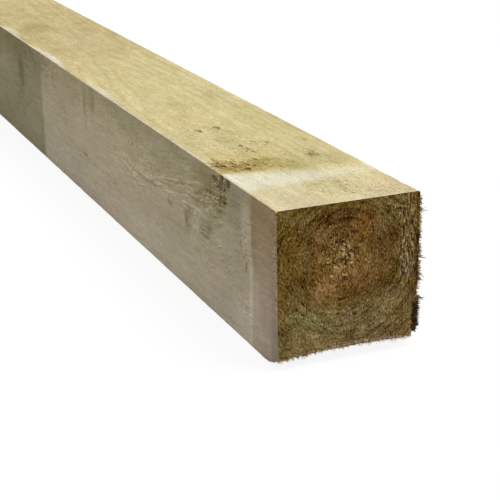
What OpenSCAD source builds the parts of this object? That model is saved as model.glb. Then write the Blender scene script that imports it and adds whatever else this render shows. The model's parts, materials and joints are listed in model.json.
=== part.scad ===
// Sawn, pressure-treated softwood batten of near-square section, lying on its underside along Y.
// The origin is under the middle of the length, and the near end faces -Y.
// The crosscut that made the near end tore its lower and right edges, and the far end is clean.

/* [Section] */
// Width of the sawn section
section_w = 47; // [30:1:100]
// Height of the sawn section
section_h = 50; // [30:1:100]
// Radius worn onto the four long arrises
arris_r = 0.6; // [0.2:0.1:2]

/* [Length] */
// Sawn length of the stock
stock_l = 1800; // [300:100:4800]

/* [Tear under the near end] */
// Height that the tear takes off the end face
tear_h = 4.3; // [1:0.1:6]
// Distance that the tear runs back along the underside
tear_l = 13; // [6:1:20]

/* [Chip out of the right arris of the near end] */
// Width of the chip on the end face, at its widest
chip_w = 2.2; // [1:0.1:5]
// Distance that the chip runs back along the right face
chip_d = 0.8; // [0.4:0.1:4]
// Height of the chip, measured along the arris
chip_l = 26; // [10:1:30]
// Height of the middle of the chip above the underside
chip_z = 9; // [8:0.5:16]

/* [Broken lower right corner of the near end] */
// Width that the break takes off the underside
corner_w = 4; // [2:0.5:12]
// Height that the break takes off the right face
corner_h = 8; // [2:0.5:14]
// Distance that the break runs back along the right arris
corner_l = 6; // [2:0.5:20]

/* [Hidden] */
$fn = 96;
cut_over = 1;                     // overshoot of each cut past the faces that it opens
near_y = -stock_l / 2;            // plane of the near end
right_x = section_w / 2;          // plane of the right face

// Section of the stock, with its underside on the x axis and a round at each corner
module sawn_section() {
    translate([-section_w / 2 + arris_r, 0]) square([section_w - 2 * arris_r, section_h]);
    translate([-section_w / 2, arris_r]) square([section_w, section_h - 2 * arris_r]);
    for (x = [-1, 1], z = [arris_r, section_h - arris_r])
        translate([x * (section_w / 2 - arris_r), z]) circle(r = arris_r);
}

// Waste of the tear: what lies below an arc that leaves the underside as a tangent
module torn_lower_edge() {
    tear_r = (tear_l * tear_l + tear_h * tear_h) / (2 * tear_h);
    width = section_w + 2 * cut_over;
    difference() {
        translate([-width / 2, near_y - cut_over, -cut_over])
            cube([width, tear_l + cut_over, tear_h + cut_over]);
        translate([0, near_y + tear_l, tear_r])
            rotate([0, 90, 0]) cylinder(r = tear_r, h = width + 2 * cut_over, center = true);
    }
}

// Waste of the chip: a shallow scoop across the upright arris, deepest at its middle
module chipped_right_arris() {
    across = norm([chip_w, chip_d]);
    depth = chip_w * chip_d / across;
    scoop_r = (chip_l * chip_l / 4 + depth * depth) / (2 * depth);
    translate([right_x - chip_w, near_y, chip_z])
        rotate([0, 0, atan2(chip_d, chip_w)])
        translate([across / 2, -scoop_r, 0])
        rotate([0, 90, 0]) cylinder(r = scoop_r, h = 3 * across, center = true);
}

// Waste of the corner: all that lies outside the plane through its three marks
module broken_corner() {
    away = [1 / corner_w, -1 / corner_l, -1 / corner_h];
    reach = 4 * max(corner_w, corner_l, corner_h);
    translate([right_x - corner_w, near_y, 0])
        rotate([0, acos(away.z / norm(away)), atan2(away.y, away.x)])
        translate([-reach / 2, -reach / 2, 0]) cube(reach);
}

// The whole length as one piece of timber
module batten() {
    color("#c9bb8c")
    difference() {
        translate([0, stock_l / 2, 0])
            rotate([90, 0, 0]) linear_extrude(height = stock_l) sawn_section();
        torn_lower_edge();
        chipped_right_arris();
        broken_corner();
    }
}

batten();
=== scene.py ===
import json
import math
import random

import bmesh
import bpy
import numpy as np
from mathutils import Matrix, Vector, noise

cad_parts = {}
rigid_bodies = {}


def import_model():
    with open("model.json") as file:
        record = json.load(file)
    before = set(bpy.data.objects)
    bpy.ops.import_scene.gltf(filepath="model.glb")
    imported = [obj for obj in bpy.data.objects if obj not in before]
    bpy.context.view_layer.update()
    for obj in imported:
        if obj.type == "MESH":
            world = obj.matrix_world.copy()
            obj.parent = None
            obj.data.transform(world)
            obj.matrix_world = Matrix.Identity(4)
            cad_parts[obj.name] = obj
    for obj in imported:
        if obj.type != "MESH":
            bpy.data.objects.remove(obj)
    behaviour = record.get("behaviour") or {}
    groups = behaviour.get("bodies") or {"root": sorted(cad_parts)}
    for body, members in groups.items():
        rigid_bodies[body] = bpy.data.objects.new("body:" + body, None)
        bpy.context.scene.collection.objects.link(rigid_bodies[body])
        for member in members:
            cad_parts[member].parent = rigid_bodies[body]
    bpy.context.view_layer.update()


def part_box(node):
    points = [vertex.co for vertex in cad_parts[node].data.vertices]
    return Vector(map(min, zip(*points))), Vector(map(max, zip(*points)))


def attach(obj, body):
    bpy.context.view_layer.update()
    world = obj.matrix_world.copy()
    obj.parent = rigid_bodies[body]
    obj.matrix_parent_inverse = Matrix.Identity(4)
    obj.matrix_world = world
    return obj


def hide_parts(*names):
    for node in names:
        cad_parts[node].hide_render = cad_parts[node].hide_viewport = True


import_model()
boxLow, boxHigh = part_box("batten")
mm = 0.001
width, length, height = boxHigh - boxLow
nearEnd, farEnd = boxLow.y, boxHigh.y
halfWidth = width / 2
print("frame loaded:", round(width, 4), round(length, 4), round(height, 4))


def selectNone():
    bpy.ops.object.select_all(action="DESELECT")


def selectOnly(piece):
    selectNone()
    piece.select_set(True)
    bpy.context.view_layer.objects.active = piece


def settle(piece):
    # the place goes into the mesh, and the object stays at the origin
    selectOnly(piece)
    bpy.ops.object.transform_apply(location=True, rotation=True, scale=True)


def pickEdges(piece, wanted):
    # in edit mode: selects the edges that the test accepts by their two ends
    bpy.ops.mesh.select_mode(type="EDGE")
    bpy.ops.mesh.select_all(action="DESELECT")
    shape = bmesh.from_edit_mesh(piece.data)
    for edge in shape.edges:
        if wanted(edge.verts[0].co, edge.verts[1].co):
            edge.select_set(True)
    bmesh.update_edit_mesh(piece.data)


def pickFaces(piece, wanted):
    # in edit mode: selects the faces that the test accepts by their centre
    bpy.ops.mesh.select_mode(type="FACE")
    bpy.ops.mesh.select_all(action="DESELECT")
    shape = bmesh.from_edit_mesh(piece.data)
    for face in shape.faces:
        if wanted(face.calc_center_median()):
            face.select_set(True)
    bmesh.update_edit_mesh(piece.data)


def placesOf(piece):
    places = np.empty(len(piece.data.vertices) * 3)
    piece.data.vertices.foreach_get("co", places)
    return places.reshape(-1, 3)


def setPlaces(piece, places):
    piece.data.vertices.foreach_set("co", places.ravel())
    piece.data.update()


def applyModifier(piece, kind, **settings):
    selectOnly(piece)
    modifier = piece.modifiers.new(kind.title(), kind)
    for name, value in settings.items():
        setattr(modifier, name, value)
    bpy.ops.object.modifier_apply(modifier=modifier.name)


def ramp(value, start, end):
    # smooth rise from 0 at start to 1 at end
    share = min(max((value - start) / (end - start), 0.0), 1.0)
    return share * share * (3 - 2 * share)


def tone(red, green, blue):
    # a colour as a paint chart gives it, 0 to 255
    shares = (red / 255, green / 255, blue / 255)
    return (*(((c + 0.055) / 1.055) ** 2.4 if c > 0.04 else c / 12.92 for c in shares), 1.0)


def feed(tree, socket, value):
    if isinstance(value, bpy.types.NodeSocket):
        tree.links.new(value, socket)
    else:
        socket.default_value = value


def addNode(tree, kind, inputs=(), **settings):
    node = tree.nodes.new("ShaderNode" + kind)
    for name, value in settings.items():
        setattr(node, name, value)
    for key, value in dict(inputs).items():
        feed(tree, node.inputs[key], value)
    return node


def maths(tree, operation, *values):
    node = addNode(tree, "Math", operation=operation)
    for socket, value in zip(node.inputs, values):
        feed(tree, socket, value)
    return node.outputs[0]


def vectorMaths(tree, operation, first, second):
    return addNode(tree, "VectorMath", operation=operation, inputs={0: first, 1: second}).outputs[0]


def times(tree, *masks):
    result = masks[0]
    for mask in masks[1:]:
        result = maths(tree, "MULTIPLY", result, mask)
    return result


def rise(tree, value, start, end):
    # smooth mask from 0 at start to 1 at end
    node = addNode(tree, "MapRange", interpolation_type="SMOOTHSTEP")
    for key, setting in {"Value": value, "From Min": start, "From Max": end}.items():
        feed(tree, node.inputs[key], setting)
    return node.outputs["Result"]


def fall(tree, value, start, end):
    # smooth mask from 1 at start to 0 at end
    return maths(tree, "SUBTRACT", 1.0, rise(tree, value, start, end))


def between(tree, value, start, end, least=0.0, most=1.0):
    # plain share of the way from start to end, laid out from least to most
    node = addNode(tree, "MapRange", inputs={
        "Value": value, "From Min": start, "From Max": end, "To Min": least, "To Max": most})
    return node.outputs["Result"]


def noiseOf(tree, vector, scale, detail=2.0, roughness=0.5, distortion=0.0, stretch=None):
    if stretch:
        vector = addNode(tree, "Mapping", inputs={"Vector": vector, "Scale": stretch}).outputs[0]
    return addNode(tree, "TexNoise", inputs={
        "Vector": vector, "Scale": scale, "Detail": detail, "Roughness": roughness,
        "Distortion": distortion}).outputs["Fac"]


def mixed(tree, share, first, second, blend="MIX"):
    node = addNode(tree, "Mix", data_type="RGBA", blend_type=blend)
    feed(tree, node.inputs[0], share)
    feed(tree, node.inputs[6], first)
    feed(tree, node.inputs[7], second)
    return node.outputs[2]


def total(tree, *values):
    result = values[0]
    for value in values[1:]:
        result = maths(tree, "ADD", result, value)
    return result


def swing(tree, value, reach):
    # a noise of 0 to 1 turned into steps from minus to plus half the reach
    return maths(tree, "MULTIPLY", maths(tree, "SUBTRACT", value, 0.5), reach)


def newGroup(name, inputs, outputs, kind="Float"):
    # inputs maps a socket's name to its kind and first value, and kind is that of the outputs
    group = bpy.data.node_groups.new(name, "ShaderNodeTree")
    for socketName, (inputKind, value) in inputs.items():
        socket = group.interface.new_socket(socketName, in_out="INPUT", socket_type="NodeSocket" + inputKind)
        socket.default_value = value
    for socketName in outputs:
        group.interface.new_socket(socketName, in_out="OUTPUT", socket_type="NodeSocket" + kind)
    enter = group.nodes.new("NodeGroupInput").outputs
    leave = group.nodes.new("NodeGroupOutput").inputs
    return group, enter, leave


def useGroup(tree, group, **inputs):
    node = tree.nodes.new("ShaderNodeGroup")
    node.node_tree = group
    for name, value in inputs.items():
        feed(tree, node.inputs[name], value)
    return node.outputs


origin = (0.0, 0.0, 0.0)


def makeRings():
    # growth rings round a heart that wanders along the length, and flecks that follow them
    group, enter, leave = newGroup(
        "growthRings",
        {"Vector": ("Vector", origin), "HeartX": ("Float", 0.0), "HeartZ": ("Float", 0.0),
         "RingWidth": ("Float", 3 * mm), "Wander": ("Float", 4 * mm), "Uneven": ("Float", 6 * mm)},
        ["Radius", "LateWood", "Arcs"])
    parts = addNode(group, "SeparateXYZ", inputs={0: enter["Vector"]}).outputs
    along = maths(group, "ADD", parts["Y"], -nearEnd)
    offsets = []
    for axis, start in (("X", 0.0), ("Z", 7.3)):
        place = addNode(group, "CombineXYZ", inputs={"X": start, "Y": along, "Z": start}).outputs[0]
        drift = maths(group, "SUBTRACT", noiseOf(group, place, 3.4, 1.0), 0.5)
        drift = times(group, drift, enter["Wander"], rise(group, along, 0.0, 90 * mm))
        heart = maths(group, "ADD", drift, enter["Heart" + axis])
        offsets.append(maths(group, "SUBTRACT", parts[axis], heart))
    squares = [maths(group, "MULTIPLY", offset, offset) for offset in offsets]
    radius = maths(group, "SQRT", maths(group, "ADD", *squares))
    uneven = noiseOf(group, enter["Vector"], 60.0, 2.0, stretch=(1.0, 0.16, 1.0))
    radius = maths(group, "MULTIPLY_ADD", maths(group, "SUBTRACT", uneven, 0.5), enter["Uneven"], radius)
    share = maths(group, "FRACT", maths(group, "DIVIDE", radius, enter["RingWidth"]))
    late = maths(group, "SUBTRACT", rise(group, share, 0.35, 0.86), rise(group, share, 0.9, 1.0))
    polar = addNode(group, "CombineXYZ", inputs={"X": maths(group, "MULTIPLY", radius, 1800.0)})
    for key, offset in zip("YZ", offsets):
        feed(group, polar.inputs[key], times(group, maths(group, "DIVIDE", offset, radius), 3.5))
    feed(group, leave["Radius"], radius)
    feed(group, leave["LateWood"], late)
    feed(group, leave["Arcs"], between(group, noiseOf(group, polar.outputs[0], 1.0, 2.0, 0.6), 0.3, 0.7))
    return group


def makeGrain():
    # sawn grain: fine lines and broad streaks along the length, a fine tooth, mottle and blotches; Ragged,
    # Waver and Broken are for the edges of marks, and Spread is how torn plain wood is
    group, enter, leave = newGroup(
        "sawnGrain", {"Vector": ("Vector", origin)},
        ["Fibres", "Streaks", "Tooth", "Mottle", "Blotches", "Ragged", "Waver", "Broken", "Spread"])
    place = enter["Vector"]
    fibres = noiseOf(group, place, 1500.0, 3.0, 0.6, stretch=(1.0, 0.05, 1.0))
    streaks = noiseOf(group, place, 300.0, 3.0, 0.6, 0.3, stretch=(1.0, 0.035, 1.0))
    tooth = noiseOf(group, place, 1700.0, 2.5, 0.9, stretch=(1.0, 0.4, 1.0))
    mottle = noiseOf(group, place, 100.0, 5.0, 0.9, stretch=(1.0, 0.35, 1.0))
    blotches = noiseOf(group, place, 60.0, 4.0, 0.65, stretch=(1.0, 0.5, 1.0))
    ragged = noiseOf(group, place, 420.0, 4.0, 0.7, stretch=(1.0, 0.5, 1.0))
    clusters = rise(group, noiseOf(group, place, 90.0, 3.0, 0.6, stretch=(1.0, 0.6, 1.0)), 0.42, 0.68)
    feed(group, leave["Fibres"], between(group, fibres, 0.3, 0.7))
    feed(group, leave["Streaks"], between(group, streaks, 0.3, 0.7))
    feed(group, leave["Tooth"], between(group, tooth, 0.3, 0.7))
    feed(group, leave["Mottle"], mottle)
    feed(group, leave["Blotches"], between(group, blotches, 0.35, 0.65))
    feed(group, leave["Ragged"], between(group, ragged, 0.0, 1.0, -0.55, 0.55))
    feed(group, leave["Waver"], noiseOf(group, place, 260.0, 3.0, 0.7))
    feed(group, leave["Broken"], between(group, maths(group, "ADD", ragged, tooth), 0.6, 1.4, -0.9, 0.9))
    feed(group, leave["Spread"], between(group, clusters, 0.0, 1.0, 0.08, 0.48))
    return group


def makeSpecks():
    # light and dark steps of torn grain: pits with a pale burr beside each, few and faint where Share is 0,
    # many and strong where it is 1, and all weaker where Calm is below 1
    group, enter, leave = newGroup(
        "tornSpecks",
        {"Vector": ("Vector", origin), "Stretch": ("Vector", (1.0, 1.0, 1.0)), "Scale": ("Float", 900.0),
         "Share": ("Float", 0.5), "Calm": ("Float", 1.0), "Lift": ("Float", 0.1), "Drop": ("Float", 0.2)},
        ["Step"])
    place = vectorMaths(group, "MULTIPLY", enter["Vector"], enter["Stretch"])
    scaled = addNode(group, "VectorMath", operation="SCALE", inputs={0: place, "Scale": enter["Scale"]})
    moved = vectorMaths(group, "ADD", scaled.outputs[0], (0.25, 0.3, 0.3))
    lift = maths(group, "SUBTRACT", noiseOf(group, moved, 1.0, 2.5, 0.7),
                 noiseOf(group, scaled.outputs[0], 1.0, 2.5, 0.7))
    least = between(group, enter["Share"], 0.0, 1.0, 0.17, 0.01)
    most = maths(group, "ADD", least, 0.13)
    burrs = between(group, lift, least, most)
    pits = between(group, maths(group, "MULTIPLY", lift, -1.0), least, most)
    deep = times(group, between(group, enter["Share"], 0.0, 0.8, 0.3, 0.95), enter["Calm"])
    step = maths(group, "SUBTRACT", times(group, burrs, deep, enter["Lift"]),
                 times(group, pits, deep, enter["Drop"]))
    feed(group, leave["Step"], step)
    return group


def makePatch():
    # a soft-edged spot or band: Size is its reach along each axis, Edge the share that fades
    group, enter, leave = newGroup(
        "stainPatch",
        {"Vector": ("Vector", origin), "Centre": ("Vector", origin), "Size": ("Vector", (1.0, 1.0, 1.0)),
         "Slant": ("Float", 0.0), "Edge": ("Float", 0.5), "Ragged": ("Float", 0.0)},
        ["Mask"])
    offset = vectorMaths(group, "SUBTRACT", enter["Vector"], enter["Centre"])
    parts = addNode(group, "SeparateXYZ", inputs={0: offset}).outputs
    sideways = maths(group, "ADD", parts["X"], parts["Z"])
    sway = maths(group, "MULTIPLY_ADD", sideways, enter["Slant"], parts["Y"])
    straight = addNode(group, "CombineXYZ", inputs={"X": parts["X"], "Y": sway, "Z": parts["Z"]}).outputs[0]
    scaled = vectorMaths(group, "DIVIDE", straight, enter["Size"])
    reach = addNode(group, "VectorMath", operation="LENGTH", inputs={0: scaled}).outputs["Value"]
    reach = maths(group, "ADD", reach, enter["Ragged"])
    start = maths(group, "SUBTRACT", 1.0, enter["Edge"])
    end = maths(group, "ADD", 1.0, enter["Edge"])
    feed(group, leave["Mask"], fall(group, reach, start, end))
    return group


def makeLift():
    # lighter or darker by the same visible step in red, green and blue, so that the hue stays
    group, enter, leave = newGroup(
        "toneLift", {"Tone": ("Color", (1.0, 1.0, 1.0, 1.0)), "Step": ("Float", 0.0)}, ["Tone"], "Color")
    seen = addNode(group, "Gamma", inputs={"Color": enter["Tone"], "Gamma": 1 / 2.2}).outputs[0]
    step = enter["Step"]
    grey = addNode(group, "CombineColor", inputs={0: step, 1: step, 2: step}).outputs[0]
    changed = mixed(group, 1.0, seen, grey, "ADD")
    changed.node.clamp_result = True
    feed(group, leave["Tone"], addNode(group, "Gamma", inputs={"Color": changed, "Gamma": 2.2}).outputs[0])
    return group


growthRings = makeRings()
sawnGrain = makeGrain()
tornSpecks = makeSpecks()
stainPatch = makePatch()
toneLift = makeLift()
print("wood effects made")

# where the heart of the tree lies at the near end, and how its rings show on the long faces and on the ends
heart = {"HeartX": -2.1 * mm, "HeartZ": 33.6 * mm, "RingWidth": 2.8 * mm}
faceRings = {**heart, "Wander": 26 * mm, "Uneven": 7 * mm}
endRings = {**heart, "Wander": 0.0, "Uneven": 3.4 * mm}


def newMaterial(name):
    material = bpy.data.materials.new(name)
    material.use_nodes = True
    tree = material.node_tree
    surface = tree.nodes["Principled BSDF"]
    place = addNode(tree, "TexCoord").outputs["Object"]
    return material, tree, surface, place


def finishMaterial(tree, surface, colour, height, distance, roughness, shine):
    tree.links.new(colour, surface.inputs["Base Color"])
    surface.inputs["Roughness"].default_value = roughness
    surface.inputs["Specular IOR Level"].default_value = shine
    bump = addNode(tree, "Bump", inputs={"Height": height, "Distance": distance, "Strength": 0.8})
    tree.links.new(bump.outputs["Normal"], surface.inputs["Normal"])


stainDepth = {"face": 9 * mm, "end": 30 * mm}  # how far a stain goes into the long faces and into the end


def stain(at, reach, strength, edge, colour, slant):
    return {"at": at, "reach": reach, "strength": strength, "edge": edge, "slant": slant,
            "colour": tone(*colour) if colour else None}


# a spot's place and reach on its face in mm: on the top x and the distance from the near end, on the left
# face that distance and z, and on the end x and z; a spot without a colour only marks a share
def onTop(at, reach, strength, edge, colour=None, slant=0.0):
    (x, distance), (across, along) = at, reach
    return stain((x * mm, nearEnd + distance * mm, height), (across * mm, along * mm, stainDepth["face"]),
                 strength, edge, colour, slant)


def onLeft(at, reach, strength, edge, colour=None, slant=0.0):
    (distance, z), (along, up) = at, reach
    return stain((-halfWidth, nearEnd + distance * mm, z * mm), (stainDepth["face"], along * mm, up * mm),
                 strength, edge, colour, slant)


def onEnd(at, reach, strength, edge, colour=None, slant=0.0):
    (x, z), (across, up) = at, reach
    return stain((x * mm, nearEnd, z * mm), (across * mm, stainDepth["end"], up * mm),
                 strength, edge, colour, slant)


def spotMask(tree, place, spot, ragged):
    mask = useGroup(tree, stainPatch, Vector=place, Centre=spot["at"], Size=spot["reach"],
                    Slant=spot["slant"], Edge=spot["edge"], Ragged=ragged)[0]
    return maths(tree, "MULTIPLY", mask, spot["strength"])


def layStains(tree, place, colour, stains, ragged):
    for spot in stains:
        colour = mixed(tree, spotMask(tree, place, spot, ragged), colour, spot["colour"])
    return colour


def spotShare(tree, place, spots, ragged, least):
    # the strongest of the spots, and never less than the given share
    share = least
    for spot in spots:
        share = maths(tree, "MAXIMUM", share, spotMask(tree, place, spot, ragged))
    return share


def pastLine(tree, along, across, at, slant):
    # how far a place lies past a line that slants over the face
    return maths(tree, "SUBTRACT", maths(tree, "MULTIPLY_ADD", across, slant, along), at)


topLook = {
    "plain": tone(226, 213, 161), "warm": tone(222, 201, 141), "cool": tone(218, 209, 155), "plainShare": 0.5,
    "ring": tone(190, 164, 104), "ringShare": 0.24, "ringsFrom": (20 * mm, 60 * mm),
    "specks": {"Scale": 800.0, "Stretch": (1.0, 0.5, 1.0), "Lift": 0.11, "Drop": 0.32},
    "tooth": (0.09, 0.2), "fibres": 0.045, "streaks": 0.025, "mottle": 0.42,
    # the pale band: where its edges cross the middle, their slants, how much more the back one slants on
    # the left half, how soft each is, and the band's strength from left to right
    "strap": {"tone": tone(244, 240, 215), "back": 37.6 * mm, "backSlant": 0.12, "backBend": 0.22,
              "front": 25 * mm, "frontSlant": -0.09, "waver": 1.5 * mm,
              "backSoft": (-7 * mm, 0.8 * mm), "frontSoft": (-5 * mm, 4 * mm),
              "across": (-4 * mm, 20 * mm), "strength": (0.95, 0.45), "blotched": 0.7},
    # painted highlight: pale along the near edge, and along the left arris from some way back, where the
    # edges catch the light
    "worn": {"tone": tone(243, 228, 203), "near": (0.3 * mm, 1.0 * mm), "nearShare": 0.5,
             "arris": (0.5 * mm, 1.1 * mm), "arrisFrom": (40 * mm, 60 * mm), "arrisShare": 0.8},
    "stains": [
        onTop((-4, 8), (40, 17), 0.55, 0.7, (230, 214, 172)),
        onTop((-16, 15), (9, 15), 0.6, 0.6, (233, 219, 178)),
        onTop((16, 7), (8, 8), 0.5, 0.6, (226, 204, 166)),
        onTop((2, 17), (9, 9), 0.5, 0.6, (208, 196, 142)),
        onTop((10, 100), (14, 30), 0.4, 0.6, (212, 202, 140)),
        onTop((-16, 85), (7, 14), 0.6, 0.6, (224, 208, 158)),
        onTop((0, 330), (60, 90), 0.6, 0.6, (196, 176, 126)),
        onTop((2, 275), (8, 40), 0.5, 0.6, (212, 196, 148)),
        onTop((-9, 325), (8, 12), 0.5, 0.6, (174, 148, 96)),
        # the next three: pale patches on the left arris, painted highlight
        onTop((-23, 175), (2.4, 18), 0.8, 0.5, (246, 232, 210)),
        onTop((-23, 255), (3.0, 24), 0.9, 0.5, (246, 232, 210)),
        onTop((-23, 325), (3.6, 14), 0.8, 0.5, (244, 230, 206)),
        onTop((4, 42), (7, 8), 0.4, 0.6, (194, 186, 128)),
        onTop((2.5, 40), (3.2, 2.6), 0.7, 0.6, (182, 178, 120)),
        onTop((0, 44.5), (4.5, 4), 0.75, 0.6, (180, 160, 96)),
        onTop((-10, 47.5), (12, 6.6), 0.8, 0.5, (196, 174, 106), -0.2),
        onTop((-14, 47.5), (8.5, 4.4), 0.75, 0.5, (162, 138, 68), -0.3),
        onTop((-0.5, 50), (2.4, 2.6), 0.6, 0.6, (166, 146, 88)),
        onTop((-16.5, 54), (3.6, 2.6), 0.55, 0.6, (166, 140, 78)),
        onTop((-22, 49), (2, 1.8), 0.5, 0.6, (160, 132, 74)),
        onTop((-20.5, 53), (2.6, 3.6), 0.8, 0.5, (146, 116, 56)),
        onTop((-11, 42.6), (4, 1.4), 0.5, 0.6, (188, 150, 98)),
        onTop((-3.5, 53), (2.4, 2.4), 0.7, 0.6, (156, 136, 70)),
        onTop((-2, 57.5), (8, 4), 0.5, 0.6, (198, 182, 118)),
        onTop((-12, 62), (8, 7), 0.6, 0.7, (204, 184, 122)),
        onTop((16, 44), (9, 7), 0.45, 0.6, (196, 180, 128)),
    ],
    # single dark tears
    "strokes": [
        onTop((12.4, 52), (1.8, 2.6), 0.62, 0.7, (122, 110, 58)),
        onTop((14.2, 55.5), (1.0, 1.8), 0.55, 0.7, (126, 114, 62)),
        onTop((-7.2, 54), (1.0, 1.8), 0.62, 0.6, (104, 86, 36)),
        onTop((-15.6, 53.5), (0.8, 1.6), 0.62, 0.6, (108, 88, 38)),
        onTop((-19.6, 57.5), (0.6, 2.6), 0.62, 0.6, (108, 86, 40)),
        onTop((-19.4, 49), (1.2, 2.4), 0.62, 0.6, (116, 90, 36)),
        onTop((-13.4, 46), (1.0, 2.6), 0.58, 0.6, (120, 92, 40)),
        onTop((-6.2, 47.5), (0.8, 1.6), 0.62, 0.6, (116, 90, 40)),
        onTop((-3.6, 63), (0.6, 1.8), 0.62, 0.6, (124, 108, 56)),
        onTop((-4, 67), (0.7, 2.0), 0.62, 0.6, (116, 100, 50)),
        onTop((-4.6, 71.5), (0.6, 1.5), 0.62, 0.6, (124, 108, 56)),
        onTop((5.2, 72), (0.6, 1.5), 0.58, 0.6, (126, 112, 60)),
        onTop((1.2, 75.5), (0.6, 1.5), 0.58, 0.6, (136, 118, 66)),
        onTop((-2.7, 98.5), (1.0, 2.2), 0.58, 0.6, (128, 114, 62)),
        onTop((-10, 96.6), (1.1, 2.2), 0.62, 0.6, (116, 102, 54)),
        onTop((18, 70), (0.8, 1.8), 0.55, 0.6, (140, 128, 72)),
    ],
    # where the surface stayed smooth
    "calm": [
        onTop((-16, 14), (9, 18), 0.8, 0.5),
        onTop((16, 110), (12, 50), 0.7, 0.6),
        onTop((0, 31), (30, 7), 0.3, 0.4),
        onTop((4, 215), (24, 80), 0.5, 0.6),
    ],
    # where the wood tore into dark pits: strength stands for how many
    "torn": [
        onTop((12, 53), (3.5, 5), 1.0, 0.6),
        onTop((-15, 50.5), (9, 8), 0.95, 0.5),
        onTop((-3, 47), (8, 7), 0.55, 0.6),
        onTop((-4, 67), (2, 7), 0.8, 0.6),
        onTop((-9.5, 96), (3, 3), 0.9, 0.6),
        onTop((-2.5, 97), (3, 3), 0.8, 0.6),
        onTop((5, 72), (2.5, 3), 0.8, 0.6),
        onTop((-2, 85), (20, 38), 0.4, 0.7),
        onTop((4, 14), (11, 9), 0.55, 0.6),
        onTop((17, 8), (8, 9), 0.4, 0.6),
    ],
}
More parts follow.
